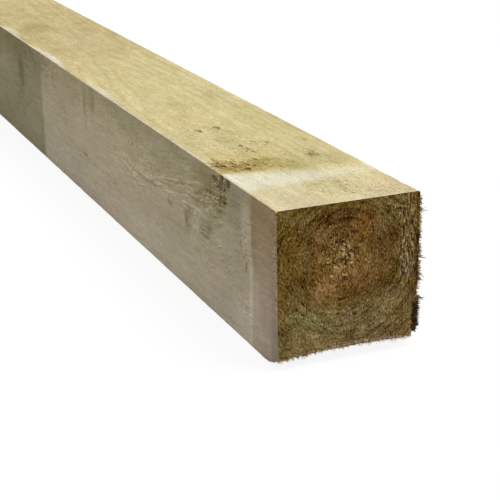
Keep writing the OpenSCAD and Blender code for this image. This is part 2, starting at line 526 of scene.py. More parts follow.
leftLook = {
    # painted light: the face darker towards the top and paler towards the bottom, where the light falls
    "high": tone(171, 160, 123), "middle": tone(198, 186, 156), "low": tone(219, 206, 184),
    "highFrom": (22 * mm, 50 * mm), "lowTo": (0.0, 24 * mm),
    "warm": tone(188, 166, 138), "cool": tone(180, 174, 142), "blotchShare": 0.3,
    "ring": tone(146, 130, 96), "ringShare": 0.1, "arris": (0.4 * mm, 0.9 * mm),
    "specks": {"Scale": 900.0, "Stretch": (1.0, 0.45, 1.0), "Lift": 0.14, "Drop": 0.22},
    "tooth": (0.085, 0.14), "fibres": 0.035, "streaks": 0.018, "mottle": 0.2,
    "stains": [
        onLeft((27, 44), (10, 9), 0.85, 0.4, (160, 150, 122)),
        onLeft((23, 39), (4, 7), 0.75, 0.6, (198, 184, 156)),
        # pale low patch: painted light, as the paler bottom of the face
        onLeft((24, 5), (10, 8), 0.6, 0.6, (226, 214, 194)),
        onLeft((33, 24), (10, 8), 0.5, 0.6, (172, 164, 138)),
        onLeft((50, 43), (14, 7), 0.7, 0.6, (144, 130, 86)),
        onLeft((52, 35.5), (8, 3), 0.6, 0.6, (140, 128, 88)),
        onLeft((80, 38), (26, 6), 0.5, 0.7, (186, 174, 136)),
        onLeft((56, 28), (7, 4), 0.5, 0.6, (156, 150, 122)),
        onLeft((67, 28), (4, 4), 0.6, 0.6, (190, 184, 152)),
        onLeft((74, 26), (3, 5), 0.6, 0.6, (164, 144, 118)),
        onLeft((70, 20.5), (4, 3), 0.5, 0.6, (208, 198, 170)),
        onLeft((131, 33), (30, 8), 0.5, 0.7, (200, 188, 152)),
        onLeft((119, 30.5), (11, 1.2), 0.6, 0.6, (206, 200, 168)),
        onLeft((119, 28.6), (11, 0.8), 0.6, 0.6, (128, 118, 84)),
        # pale low patch: painted light, as the paler bottom of the face
        onLeft((130, 6), (50, 7), 0.5, 0.7, (226, 214, 186)),
        onLeft((165, 26), (50, 12), 0.5, 0.7, (208, 194, 162)),
        onLeft((185, 44), (4, 8), 0.4, 0.6, (156, 140, 104)),
        onLeft((243, 16), (14, 7), 0.5, 0.6, (196, 184, 160)),
        onLeft((258, 27), (8, 12), 0.5, 0.6, (186, 178, 142)),
        onLeft((304, 34), (14, 20), 0.5, 0.8, (132, 130, 100)),
        onLeft((320, 45), (50, 9), 0.6, 0.6, (124, 112, 76)),
    ],
    # darker beyond a straight edge, with two broad stains of its own
    "farZone": {"start": 265.5 * mm, "soft": 2.5 * mm, "tone": tone(150, 142, 108), "share": 0.85},
    "farStains": [
        onLeft((286, 8), (18, 8), 0.5, 0.6, (172, 164, 136)),
        onLeft((320, 47), (60, 6), 0.45, 0.6, (128, 112, 72)),
    ],
    # single marks further back and round the knot, and last the dark tears near the upper edge
    "strokes": [
        onLeft((194.5, 41.5), (2.6, 8), 0.5, 0.7, (138, 122, 84)),
        onLeft((182, 43.5), (2.2, 3), 0.5, 0.7, (138, 122, 86)),
        onLeft((303.5, 34), (4.5, 8), 0.7, 0.7, (100, 102, 76)),
        onLeft((197, 18.5), (2.6, 0.6), 0.8, 0.5, (120, 108, 78), -0.4),
        onLeft((48.5, 30.8), (1.7, 2.6), 0.5, 0.6, (144, 138, 116), 2.5),
        onLeft((46, 26.5), (6, 1.4), 0.5, 0.6, (204, 196, 168)),
        onLeft((55.4, 27), (1.0, 1.9), 0.4, 0.7, (138, 130, 104), 0.6),
        onLeft((60.8, 26.4), (2.0, 1.0), 0.4, 0.7, (134, 126, 98)),
        onLeft((59, 24.7), (3.6, 0.5), 0.7, 0.5, (132, 122, 96)),
        onLeft((75.5, 25.5), (1.4, 2.2), 0.6, 0.5, (150, 132, 106)),
        onLeft((71.5, 29.5), (2.6, 0.8), 0.5, 0.5, (152, 132, 106)),
        onLeft((91.5, 27.2), (2.8, 1.0), 0.6, 0.5, (136, 126, 96)),
        onLeft((23.4, 25.5), (0.6, 1.4), 0.7, 0.5, (122, 108, 84)),
        onLeft((37, 48.6), (1.6, 2.4), 0.85, 0.5, (84, 72, 44)),
        onLeft((42, 48.8), (1.8, 2.6), 0.85, 0.5, (82, 70, 42)),
        onLeft((43, 45.4), (1.4, 1.4), 0.8, 0.5, (104, 90, 56)),
        onLeft((39.5, 46.4), (1.2, 1.6), 0.8, 0.5, (104, 92, 58)),
        onLeft((43.4, 41), (1.2, 2.2), 0.8, 0.5, (100, 86, 50)),
        onLeft((40, 41.6), (2.2, 1.2), 0.8, 0.5, (112, 100, 60)),
        onLeft((48, 47.2), (2.6, 1.0), 0.8, 0.5, (104, 90, 56)),
    ],
    # where it tore and where it stayed smooth, as on the top
    "torn": [
        onLeft((44, 43), (9, 8), 0.8, 0.6),
        onLeft((52, 38), (12, 5), 0.7, 0.6),
        onLeft((64, 27), (16, 6), 0.5, 0.6),
        onLeft((55, 15), (14, 4), 0.5, 0.6),
        onLeft((25, 33), (4, 7), 0.6, 0.6),
        onLeft((90, 36), (40, 8), 0.4, 0.7),
        onLeft((120, 38), (22, 5), 0.5, 0.7),
    ],
    "calm": [
        onLeft((28, 45), (7, 7), 0.8, 0.5),
        onLeft((100, 12), (60, 9), 0.6, 0.6),
        onLeft((310, 20), (50, 40), 0.85, 0.3),
        onLeft((210, 15), (60, 12), 0.5, 0.6),
    ],
    "grainFall": 0.13,  # how fast the grain runs down along the face
    "grainWaver": 7 * mm,
    # lines torn open along the grain: from which level of the grain to which, and where along the length
    "lines": {"low": (37 * mm, 42 * mm), "high": (48 * mm, 53 * mm), "start": (36 * mm, 46 * mm),
              "end": (100 * mm, 200 * mm), "reach": 130 * mm, "lift": 0.1, "drop": 0.12},
    "knot": {"at": (55 * mm, 27 * mm), "reach": (10 * mm, 6 * mm), "lift": 3.4 * mm, "lines": 0.6},
    # the browner wood next to the end: its edge is soft low down and sharp higher up
    "strip": {"high": tone(158, 136, 98), "low": tone(192, 174, 150), "highFrom": (8 * mm, 45 * mm),
              "end": 18.8 * mm, "slant": 0.035, "waver": 0.6 * mm, "sharpFrom": (26 * mm, 34 * mm),
              "soft": -4 * mm, "sharp": 0.25 * mm, "share": 0.92, "calm": 0.3},
    # along the strip's edge
    "paleLine": {"tone": tone(230, 218, 192), "before": (-1.9 * mm, -0.5 * mm), "past": (0.2 * mm, 1.5 * mm),
                 "below": (18 * mm, 34 * mm), "share": 0.52},
    "nearEdge": {"from": (1 * mm, 8 * mm), "above": (10 * mm, 20 * mm), "share": 0.6},  # torn by the cut
    "stripStains": [
        onLeft((9, 15), (8, 9), 0.6, 0.6, (172, 150, 138)),
        onLeft((15, 4.5), (5, 6), 0.6, 0.6, (208, 194, 172)),
        onLeft((17, 16), (3.5, 13), 0.6, 0.6, (196, 182, 164)),
        onLeft((17, 33), (3, 8), 0.5, 0.6, (140, 124, 92)),
        onLeft((3, 32), (3, 12), 0.5, 0.6, (148, 122, 100)),
        onLeft((1, 8), (3.6, 13), 0.75, 0.6, (146, 126, 110)),
        onLeft((12, 31), (8, 4), 0.5, 0.6, (174, 156, 128)),
    ],
}


def cutFace(tree, place, parts, distance):
    # on the left face the grain runs down along the length, in waves and round a knot
    look, knot = leftLook, leftLook["knot"]
    uneven = maths(tree, "SUBTRACT", noiseOf(tree, place, 34.0, 3.0, 0.6, stretch=(1.0, 0.45, 1.0)), 0.5)
    squares = []
    for way, at, reach in zip((distance, parts["Z"]), knot["at"], knot["reach"]):
        share = maths(tree, "DIVIDE", maths(tree, "SUBTRACT", way, at), reach)
        squares.append(maths(tree, "MULTIPLY", share, share))
    whorl = maths(tree, "EXPONENT", maths(tree, "MULTIPLY", maths(tree, "ADD", *squares), -1.0))
    raised = maths(tree, "ADD", parts["Z"], times(tree, whorl, knot["lift"]))
    along = maths(tree, "MINIMUM", distance, look["lines"]["reach"])
    fallen = maths(tree, "MULTIPLY_ADD", along, look["grainFall"], raised)
    flow = maths(tree, "MULTIPLY_ADD", uneven, look["grainWaver"], fallen)
    waves = addNode(tree, "CombineXYZ", inputs={"X": parts["X"], "Y": parts["Y"], "Z": flow}).outputs[0]
    return flow, waves, times(tree, whorl, knot["lines"])


def finishSawn(tree, surface, colour, grain, torn, specks, look):
    # fine light and dark over the colour; the tooth has its reach on smooth and on torn wood
    toothReach = between(tree, torn, 0.0, 0.8, *look["tooth"])
    steps = [swing(tree, grain[name], look[name.lower()]) for name in ("Fibres", "Streaks", "Mottle")]
    step = total(tree, swing(tree, grain["Tooth"], toothReach), *steps, specks)
    colour = useGroup(tree, toneLift, Tone=colour, Step=step)[0]
    relief = maths(tree, "MULTIPLY_ADD", grain["Tooth"], 1.5, grain["Fibres"])
    finishMaterial(tree, surface, colour, relief, 0.2 * mm, 0.85, 0.12)


def makeSawnTop():
    material, tree, surface, place = newMaterial("sawnTop")
    look, strap, worn = topLook, topLook["strap"], topLook["worn"]
    parts = addNode(tree, "SeparateXYZ", inputs={0: place}).outputs
    distance = maths(tree, "SUBTRACT", parts["Y"], nearEnd)
    rings = useGroup(tree, growthRings, Vector=place, **faceRings)
    grain = useGroup(tree, sawnGrain, Vector=place)
    ragged = grain["Ragged"]
    top = mixed(tree, grain["Blotches"], look["warm"], look["cool"])
    top = mixed(tree, look["plainShare"], top, look["plain"])
    ringed = times(tree, rings["LateWood"], rise(tree, distance, *look["ringsFrom"]), look["ringShare"])
    top = mixed(tree, ringed, top, look["ring"])
    top = layStains(tree, place, top, look["stains"], ragged)
    behind = pastLine(tree, distance, parts["X"], strap["back"], strap["backSlant"])
    before = pastLine(tree, distance, parts["X"], strap["front"], strap["frontSlant"])
    behind = maths(tree, "MULTIPLY_ADD", maths(tree, "MINIMUM", parts["X"], 0.0), strap["backBend"], behind)
    behind = maths(tree, "ADD", swing(tree, grain["Waver"], strap["waver"]), behind)
    band = times(tree, fall(tree, behind, *strap["backSoft"]), rise(tree, before, *strap["frontSoft"]),
                 between(tree, parts["X"], *strap["across"], *strap["strength"]),
                 between(tree, grain["Blotches"], 0.0, 1.0, 1.0, strap["blotched"]))
    top = mixed(tree, band, top, strap["tone"])
    # painted highlight along the near edge and the left arris
    front = times(tree, fall(tree, distance, *worn["near"]), worn["nearShare"])
    arris = times(tree, fall(tree, parts["X"], *(reach - halfWidth for reach in worn["arris"])),
                  rise(tree, distance, *worn["arrisFrom"]), rise(tree, grain["Streaks"], 0.1, 0.5))
    arris = times(tree, arris, worn["arrisShare"])
    top = mixed(tree, maths(tree, "MAXIMUM", front, arris), top, worn["tone"])
    rough = maths(tree, "SUBTRACT", 1.0, spotShare(tree, place, look["calm"], ragged, 0.0))
    torn = times(tree, spotShare(tree, place, look["torn"], ragged, grain["Spread"]), rough)
    specks = useGroup(tree, tornSpecks, Vector=place, Share=torn, Calm=rough, **look["specks"])[0]
    top = layStains(tree, place, top, look["strokes"], grain["Broken"])
    finishSawn(tree, surface, top, grain, torn, specks, look)
    return material


def tornLines(tree, flow, waves, whorl, distance, grain):
    # lines open along the grain in their zone, round the knot, and here and there on the rest
    look = leftLook["lines"]
    lines = noiseOf(tree, waves, 1100.0, 2.0, 0.5, stretch=(1.0, 0.08, 1.0))
    zone = times(tree, rise(tree, flow, *look["low"]), fall(tree, flow, *look["high"]),
                 rise(tree, distance, *look["start"]), fall(tree, distance, *look["end"]))
    zone = maths(tree, "MAXIMUM", maths(tree, "MAXIMUM", zone, grain["Spread"]), whorl)
    return maths(tree, "SUBTRACT", times(tree, rise(tree, lines, 0.54, 0.66), zone, look["lift"]),
                 times(tree, fall(tree, lines, 0.34, 0.46), zone, look["drop"]))


def layStrip(tree, place, parts, distance, grain, colour):
    # the browner strip next to the end, and the pale line along its edge; also gives how far it reaches
    strip, line = leftLook["strip"], leftLook["paleLine"]
    brown = mixed(tree, rise(tree, parts["Z"], *strip["highFrom"]), strip["low"], strip["high"])
    brown = layStains(tree, place, brown, leftLook["stripStains"], grain["Ragged"])
    depth = maths(tree, "SUBTRACT", parts["Z"], height)
    past = pastLine(tree, distance, depth, strip["end"], strip["slant"])
    past = maths(tree, "ADD", swing(tree, grain["Waver"], strip["waver"]), past)
    softness = between(tree, parts["Z"], *strip["sharpFrom"], strip["soft"], -strip["sharp"])
    inStrip = fall(tree, past, softness, strip["sharp"])
    colour = mixed(tree, times(tree, inStrip, strip["share"]), colour, brown)
    onLine = times(tree, rise(tree, past, *line["before"]), fall(tree, past, *line["past"]),
                   fall(tree, parts["Z"], *line["below"]), line["share"])
    return mixed(tree, onLine, colour, line["tone"]), inStrip


def makeSawnSides():
    # the left face carries the marks, and the right face and the underside only the wood
    material, tree, surface, place = newMaterial("sawnSides")
    look, far, near = leftLook, leftLook["farZone"], leftLook["nearEdge"]
    parts = addNode(tree, "SeparateXYZ", inputs={0: place}).outputs
    distance = maths(tree, "SUBTRACT", parts["Y"], nearEnd)
    leftward = fall(tree, parts["X"], *(reach - halfWidth for reach in look["arris"]))
    rings = useGroup(tree, growthRings, Vector=place, **faceRings)
    grain = useGroup(tree, sawnGrain, Vector=place)
    ragged = grain["Ragged"]
    flow, waves, whorl = cutFace(tree, place, parts, distance)
    # painted light: darker towards the top and paler towards the bottom
    side = mixed(tree, rise(tree, parts["Z"], *look["highFrom"]), look["middle"], look["high"])
    side = mixed(tree, fall(tree, parts["Z"], *look["lowTo"]), side, look["low"])
    side = mixed(tree, look["blotchShare"], side, mixed(tree, grain["Blotches"], look["warm"], look["cool"]))
    side = mixed(tree, times(tree, rings["LateWood"], look["ringShare"]), side, look["ring"])
    marked = layStains(tree, place, side, look["stains"], ragged)
    beyond = rise(tree, distance, far["start"] - far["soft"], far["start"] + far["soft"])
    marked = mixed(tree, times(tree, beyond, far["share"]), marked, far["tone"])
    marked, inStrip = layStrip(tree, place, parts, distance, grain, marked)
    marked = layStains(tree, place, marked, look["farStains"] + look["strokes"], grain["Broken"])
    side = mixed(tree, leftward, side, marked)
    edge = times(tree, fall(tree, distance, *near["from"]), rise(tree, parts["Z"], *near["above"]))
    calm = spotShare(tree, place, look["calm"], ragged, 0.0)
    calm = maths(tree, "MAXIMUM", calm, times(tree, inStrip, look["strip"]["calm"]))
    torn = spotShare(tree, place, look["torn"], ragged, grain["Spread"])
    torn = times(tree, torn, maths(tree, "SUBTRACT", 1.0, calm))
    torn = maths(tree, "MAXIMUM", torn, times(tree, edge, near["share"]))
    cuts = times(tree, tornLines(tree, flow, waves, whorl, distance, grain), leftward)
    specks = useGroup(tree, tornSpecks, Vector=place, Share=torn, **look["specks"])[0]
    finishSawn(tree, surface, side, grain, torn, maths(tree, "ADD", specks, cuts), look)
    return material


endLook = {
    "brown": tone(114, 80, 28), "olive": tone(112, 92, 36),
    "khaki": tone(146, 128, 80), "khakiBelow": (8 * mm, 24 * mm), "khakiShare": 0.75,
    "late": tone(72, 46, 18), "ringShare": (0.22, 0.8),  # most in the ringed spot
    # painted shade along the right edge, where the arris turns away from the light
    "rimShade": tone(44, 30, 12), "rimFrom": (1.3 * mm, 0.5 * mm), "rimShare": 0.8,
    "specks": {"Scale": 1050.0, "Stretch": (1.0, 0.3, 0.8), "Lift": 0.24, "Drop": 0.24}, "tornShare": 0.3,
    "mottle": 0.6, "tooth": 0.34,
    "arcs": {"outside": (6 * mm, 8 * mm), "lift": 0.05, "drop": 0.12},  # curved flecks outside the heart
    "marks": {"at": 19.4 * mm, "reach": (1.92 * mm, 3.84 * mm), "above": (18 * mm, 27 * mm),
              "lift": 0.22, "drop": 0.18},  # upright saw marks near the right edge
    "stains": [
        onEnd((-1, 33), (13, 13), 0.7, 0.35, (112, 80, 38)),
        onEnd((12, 33.5), (4.4, 10), 0.75, 0.5, (92, 68, 28)),
        onEnd((8, 21.5), (6, 2.6), 0.6, 0.6, (98, 74, 36)),
        onEnd((1.5, 23.5), (3.5, 2.6), 0.55, 0.6, (130, 98, 54)),
        onEnd((-14, 36), (2.6, 9), 0.5, 0.6, (88, 64, 26)),
        onEnd((-4, 45.5), (7, 2.4), 0.7, 0.5, (84, 54, 12)),
        onEnd((6.5, 42.5), (4, 3), 0.7, 0.6, (136, 98, 50)),
        onEnd((-3, 32), (9.8, 8.8), 0.8, 0.22, (128, 98, 48)),
        onEnd((0.5, 26), (7, 3), 0.6, 0.5, (146, 110, 66)),
        onEnd((-8.2, 23.6), (4, 3.4), 0.85, 0.5, (156, 122, 74)),
        onEnd((-9, 39), (3, 4), 0.6, 0.5, (132, 98, 54)),
        onEnd((-1.5, 33.6), (3.2, 4.2), 0.6, 0.5, (98, 76, 36)),
        onEnd((-18, 24), (4, 4), 0.5, 0.6, (96, 80, 40)),
        onEnd((-14, 14.8), (5.5, 3.6), 0.85, 0.6, (142, 132, 84)),
        onEnd((-21, 11), (2.4, 3), 0.55, 0.6, (88, 72, 40)),
        onEnd((-6, 11), (5, 2.8), 0.7, 0.6, (124, 112, 76)),
        onEnd((7.5, 13), (7, 4.2), 0.65, 0.6, (130, 114, 78)),
        onEnd((0, 15), (2.6, 2.6), 0.5, 0.6, (86, 66, 36)),
        onEnd((11, 6.6), (5, 2.4), 0.55, 0.6, (98, 78, 48)),
        onEnd((4.2, 41.5), (3.4, 4.4), 0.75, 0.5, (150, 114, 62)),
        onEnd((-0.5, 39.4), (2.4, 2), 0.55, 0.6, (84, 56, 22)),
        onEnd((-14, 47.5), (4, 2.2), 0.8, 0.6, (136, 116, 56)),
        onEnd((10.5, 47.5), (3.6, 2), 0.75, 0.6, (134, 110, 60)),
        onEnd((20, 26.5), (3, 3.6), 0.9, 0.6, (66, 46, 20)),
        onEnd((4.6, 28), (7, 3.6), 0.55, 0.7, (148, 114, 66)),
        onEnd((21, 17), (2.2, 4.4), 0.55, 0.6, (84, 62, 34)),
        onEnd((15, 19.5), (3, 2.6), 0.5, 0.6, (122, 108, 74)),
        onEnd((18.4, 12), (2.4, 6), 0.6, 0.6, (118, 92, 50)),
        onEnd((14.5, 46), (5, 4), 0.65, 0.6, (132, 116, 70)),
        onEnd((19.5, 35), (3, 12), 0.6, 0.5, (118, 100, 60)),
        onEnd((-16, 45), (5, 4), 0.6, 0.6, (112, 94, 46)),
        onEnd((-16, 6), (9, 3), 0.5, 0.8, (124, 102, 64)),
        onEnd((0, 6.4), (4, 2.4), 0.65, 0.6, (132, 110, 76)),
    ],
    # single dark and pale pores
    "strokes": [
        onEnd((-3.4, 37.9), (1.4, 1.1), 0.75, 0.5, (74, 42, 6)),
        onEnd((-5.1, 39.9), (1.3, 0.9), 0.7, 0.5, (74, 42, 6)),
        onEnd((2.3, 34.2), (0.9, 1.4), 0.75, 0.5, (74, 42, 8)),
        onEnd((-8, 36.6), (1.0, 1.2), 0.8, 0.5, (72, 42, 6)),
        onEnd((-1.2, 32.2), (1.0, 1.0), 0.6, 0.5, (76, 52, 22)),
        onEnd((4.2, 37.6), (1.0, 0.7), 0.7, 0.5, (76, 44, 8)),
        onEnd((-12.6, 39.6), (1.0, 1.1), 0.7, 0.5, (76, 46, 8)),
        onEnd((-2, 26.4), (1.0, 0.7), 0.8, 0.5, (70, 46, 20)),
        onEnd((8, 40.5), (0.7, 1.0), 0.8, 0.5, (68, 44, 20)),
        onEnd((1.2, 40.2), (1.4, 0.7), 0.7, 0.5, (76, 44, 8)),
        onEnd((-2.4, 34.6), (1.0, 1.0), 0.7, 0.5, (180, 152, 96)),
        onEnd((-9.6, 33.4), (0.7, 1.2), 0.7, 0.5, (174, 144, 86)),
        onEnd((-4.2, 29.6), (1.2, 0.9), 0.7, 0.5, (176, 146, 90)),
        onEnd((0.3, 35.8), (0.9, 0.8), 0.7, 0.5, (174, 144, 88)),
        onEnd((5, 34.4), (0.8, 1.0), 0.6, 0.5, (166, 132, 80)),
    ],
    # where pale and dark pores stand out: strength stands for how many
    "torn": [
        onEnd((-2.3, 32), (6.6, 6.6), 0.9, 0.5),
        onEnd((-3, 32), (10, 9), 0.5, 0.5),
        onEnd((15.5, 47), (4, 4), 0.75, 0.6),
        onEnd((5, 14), (14, 4.5), 0.6, 0.7),
        onEnd((-9, 23), (5, 4), 0.6, 0.6),
        onEnd((-16, 17), (6, 5), 0.6, 0.6),
        onEnd((19.5, 30), (3.5, 14), 0.6, 0.6),
    ],
    "ringed": [onEnd((-6, 46), (12, 5), 1.0, 0.5)],  # where the rings show darkest
}


def makeEndGrain():
    material, tree, surface, place = newMaterial("endGrain")
    look, arcs, marks = endLook, endLook["arcs"], endLook["marks"]
    parts = addNode(tree, "SeparateXYZ", inputs={0: place}).outputs
    rings = useGroup(tree, growthRings, Vector=place, **endRings)
    blotches = between(tree, noiseOf(tree, place, 110.0, 2.0, 0.6), 0.36, 0.64)
    ragged = between(tree, noiseOf(tree, place, 300.0, 4.0, 0.75), 0.0, 1.0, -0.6, 0.6)
    colour = mixed(tree, blotches, look["brown"], look["olive"])
    low = times(tree, fall(tree, parts["Z"], *look["khakiBelow"]), look["khakiShare"])
    colour = mixed(tree, low, colour, look["khaki"])
    colour = layStains(tree, place, colour, look["stains"], ragged)
    least = times(tree, rise(tree, blotches, 0.3, 1.0), look["tornShare"])
    torn = spotShare(tree, place, look["torn"], ragged, least)
    ringed = between(tree, spotShare(tree, place, look["ringed"], ragged, 0.0), 0.0, 1.0, *look["ringShare"])
    outer = rise(tree, rings["Radius"], *arcs["outside"])
    colour = mixed(tree, times(tree, rings["LateWood"], ringed, outer), colour, look["late"])
    arcShare = times(tree, outer, rise(tree, noiseOf(tree, place, 90.0, 2.0, 0.6), 0.35, 0.65))
    paleArcs, darkArcs = rise(tree, rings["Arcs"], 0.55, 0.9), fall(tree, rings["Arcs"], 0.2, 0.5)
    arcStep = maths(tree, "SUBTRACT", times(tree, paleArcs, arcShare, arcs["lift"]),
                    times(tree, darkArcs, arcShare, arcs["drop"]))
    aside = maths(tree, "ABSOLUTE", maths(tree, "SUBTRACT", parts["X"], marks["at"]))
    sawn = times(tree, fall(tree, aside, *marks["reach"]), rise(tree, parts["Z"], *marks["above"]))
    lines = noiseOf(tree, place, 1800.0, 2.0, 0.7, stretch=(1.0, 0.3, 0.17))
    markStep = maths(tree, "SUBTRACT", times(tree, sawn, rise(tree, lines, 0.5, 0.62), marks["lift"]),
                     times(tree, sawn, fall(tree, lines, 0.36, 0.48), marks["drop"]))
    tooth = between(tree, noiseOf(tree, place, 2100.0, 1.5, 0.9, stretch=(1.0, 0.3, 0.55)), 0.3, 0.7)
    mottle = noiseOf(tree, place, 130.0, 4.0, 0.8, stretch=(1.0, 0.3, 0.8))
    broken = between(tree, tooth, 0.0, 1.0, -0.8, 0.8)
    colour = layStains(tree, place, colour, look["strokes"], broken)
    # painted shade along the right edge of the end
    rimShade = rise(tree, parts["X"], *(halfWidth - reach for reach in look["rimFrom"]))
    rimShade = times(tree, rimShade, rise(tree, noiseOf(tree, place, 320.0, 3.0, 0.7), 0.35, 0.6), look["rimShare"])
    colour = mixed(tree, rimShade, colour, look["rimShade"])
    specks = useGroup(tree, tornSpecks, Vector=place, Share=torn, **look["specks"])[0]
    step = total(tree, swing(tree, mottle, look["mottle"]), swing(tree, tooth, look["tooth"]),
                 arcStep, markStep, specks)
    colour = useGroup(tree, toneLift, Tone=colour, Step=step)[0]
    finishMaterial(tree, surface, colour, maths(tree, "ADD", tooth, lines), 0.35 * mm, 0.9, 0.06)
    return material


tornLook = {
    # the dark and the pale strands: low down, dark as painted shade on the chip, higher up, and on the lip
    # under the near end, lighter as painted light against its shade
    "low": (tone(38, 22, 11), tone(88, 60, 32)),
    "high": (tone(92, 66, 34), tone(140, 112, 66)),
    "lip": (tone(98, 80, 58), tone(166, 148, 120)),
    "highFrom": (14 * mm, 17 * mm),
    "lipDepth": (1.0 * mm, 2.5 * mm), "lipShort": (5 * mm, 3 * mm),  # short of the right side
}


def makeTornWood():
    material, tree, surface, place = newMaterial("tornWood")
    look = tornLook
    parts = addNode(tree, "SeparateXYZ", inputs={0: place}).outputs
    strands = noiseOf(tree, place, 1300.0, 3.0, 0.65, stretch=(1.0, 0.12, 1.0))
    # darker low down: painted shade on the chip; lighter on the lip: painted light against the shade under
    # the end
    raised = rise(tree, parts["Z"], *look["highFrom"])
    onLip = times(tree, fall(tree, parts["Y"], *(nearEnd + depth for depth in look["lipDepth"])),
                  fall(tree, parts["X"], *(halfWidth - reach for reach in look["lipShort"])))
    tones = []
    for low, high, lip in zip(look["low"], look["high"], look["lip"]):
        tones.append(mixed(tree, onLip, mixed(tree, raised, low, high), lip))
    colour = mixed(tree, between(tree, strands, 0.35, 0.65), *tones)
    finishMaterial(tree, surface, colour, strands, 0.5 * mm, 0.95, 0.15)
    return material


sawnTop = makeSawnTop()
sawnSides = makeSawnSides()
endGrain = makeEndGrain()
tornWood = makeTornWood()
print("materials made")

batten = {
    "across": 56,  # faces across each side
    "arris": 0.6 * mm,  # round worn on the long edges
    "topDown": 0.45 * mm,  # how far the top's colour comes down its arrises
    # ends of the lengths with their own spacing in mm, and the faces in each
    "zones": [(20, 33), (60, 33), (160, 40), (400, 44), (1100, 76), (1770, 66), (1800, 15)],
    "ridge": 0.07 * mm,  # height of the raised grain
    "nibble": 0.22 * mm, "nibbleReach": (0.2 * mm, 1.0 * mm),  # depth of the worn bites along the arrises
    "sawMark": 0.09 * mm,  # depth of the upright saw marks on the ends
    "sawPitch": 1.1 * mm,
    # the tear under the near end swells to its full height about its middle
    "tear": {"height": 4.3 * mm, "length": 13 * mm, "rough": 0.58 * mm, "least": 0.75, "swell": 0.39,
             "middle": 1.5 * mm, "halfWide": 25 * mm, "clear": 0.15 * mm, "steps": (150, 52)},
    # lost from the near end's right arris: the chip, a small bite and a thin flake above it, and the corner
    "chip": {"width": 2.2 * mm, "depth": 0.8 * mm, "length": 26 * mm, "middle": 9 * mm, "power": 0.8,
             "rough": 0.35 * mm, "clear": 0.15 * mm, "steps": (40, 150)},
    "bite": {"depth": 0.5 * mm, "at": 38.5 * mm, "reach": 2.5 * mm},
    "flake": {"width": 0.12 * mm, "depth": 3 * mm, "low": (14 * mm, 17 * mm), "high": (22 * mm, 24 * mm),
              "clear": 0.4 * mm},
    "corner": {"width": 4 * mm, "height": 8.4 * mm, "length": 8 * mm},
}
nearly = 0.01 * mm  # how close counts as on a face
wholeTurn = 2 * math.pi


def sawnBlank(size):
    selectNone()
    bpy.ops.mesh.primitive_cube_add(size=1, location=(boxLow + boxHigh) / 2, scale=(width, length, height))
    body = bpy.context.object
    body.name = body.data.name = "battenBody"
    settle(body)
    bpy.ops.object.mode_set(mode="EDIT")
    bpy.ops.mesh.select_mode(type="EDGE")
    for end, _ in size["zones"][:-1]:
        bpy.ops.mesh.select_all(action="SELECT")
        bpy.ops.mesh.bisect(plane_co=(0, nearEnd + end * mm, 0), plane_no=(0, 1, 0))
    for axis in (0, 2):  # across the width, then up the height
        pickEdges(body, lambda a, b: abs(a[axis] - b[axis]) > halfWidth)
        bpy.ops.mesh.subdivide(number_cuts=size["across"] - 1)
    start = nearEnd
    for end, rings in size["zones"]:
        stop = nearEnd + end * mm
        middle = (start + stop) / 2
        pickEdges(body, lambda a, b: (a.y - middle) * (b.y - middle) < 0)
        bpy.ops.mesh.subdivide(number_cuts=rings - 1)
        start = stop
    onSide, onTopOrUnder = halfWidth - nearly, height / 2 - nearly
    pickEdges(body, lambda a, b: abs(a.y - b.y) > nearly and min(abs(a.x), abs(b.x)) > onSide
              and abs(a.z - height / 2) > onTopOrUnder)
    bpy.ops.mesh.bevel(offset=size["arris"], segments=3, affect="EDGES")
    pickFaces(body, lambda centre: centre.y < nearEnd + nearly)
    bpy.ops.mesh.subdivide(number_cuts=1)
    bpy.ops.object.mode_set(mode="OBJECT")
    return body


def endRelief(size, x, z):
    # how far the saw marks and torn pores lie below the plane of an end
    line = math.sin(x / size["sawPitch"] * wholeTurn + 2 * noise.noise((x * 90, 0, z * 30)))
    marks = 0.8 * line * ramp(x, 8 * mm, 17 * mm)
    marks += noise.noise((x * 850, 1.0, z * 22)) * ramp(x, -10 * mm, 15 * mm)
    pores = 0.8 * noise.noise((x * 1100, 5.0, z * 800))
    return size["sawMark"] * (1.3 + marks + pores)


def weather(body, size):
    # raised grain on the faces, bites along the arrises and saw marks on the ends; the noise has about as
    # many bumps per metre as its factors say
    places = placesOf(body)
    normals = np.array([v.normal for v in body.data.vertices])
    for index, (x, y, z) in enumerate(places):
        aside = max(halfWidth - abs(x), 0.0)
        upright = min(z, height - z)
        if min(y - nearEnd, farEnd - y) < nearly:
            inward = endRelief(size, x, z) * ramp(min(aside, upright), 0.0, 0.8 * mm)
            places[index][1] += inward if y < 0 else -inward
            continue
        grain = noise.noise((x * 260, y * 7, z * 260)) + 0.8 * noise.noise((x * 900, y * 45, z * 900))
        push = size["ridge"] * (grain - 0.9)
        near = 1 - ramp(math.hypot(aside, upright), *size["nibbleReach"])
        if near > 0:
            edge = (1 if x > 0 else 0) + (2 if z > height / 2 else 0)
            bite = noise.noise((y * 150, edge * 9.1, 0)) + 0.7 * noise.noise((y * 420, edge * 5.3, 3))
            push -= near * size["nibble"] * max(bite, 0.0)
        places[index] += normals[index] * push
    setPlaces(body, places)


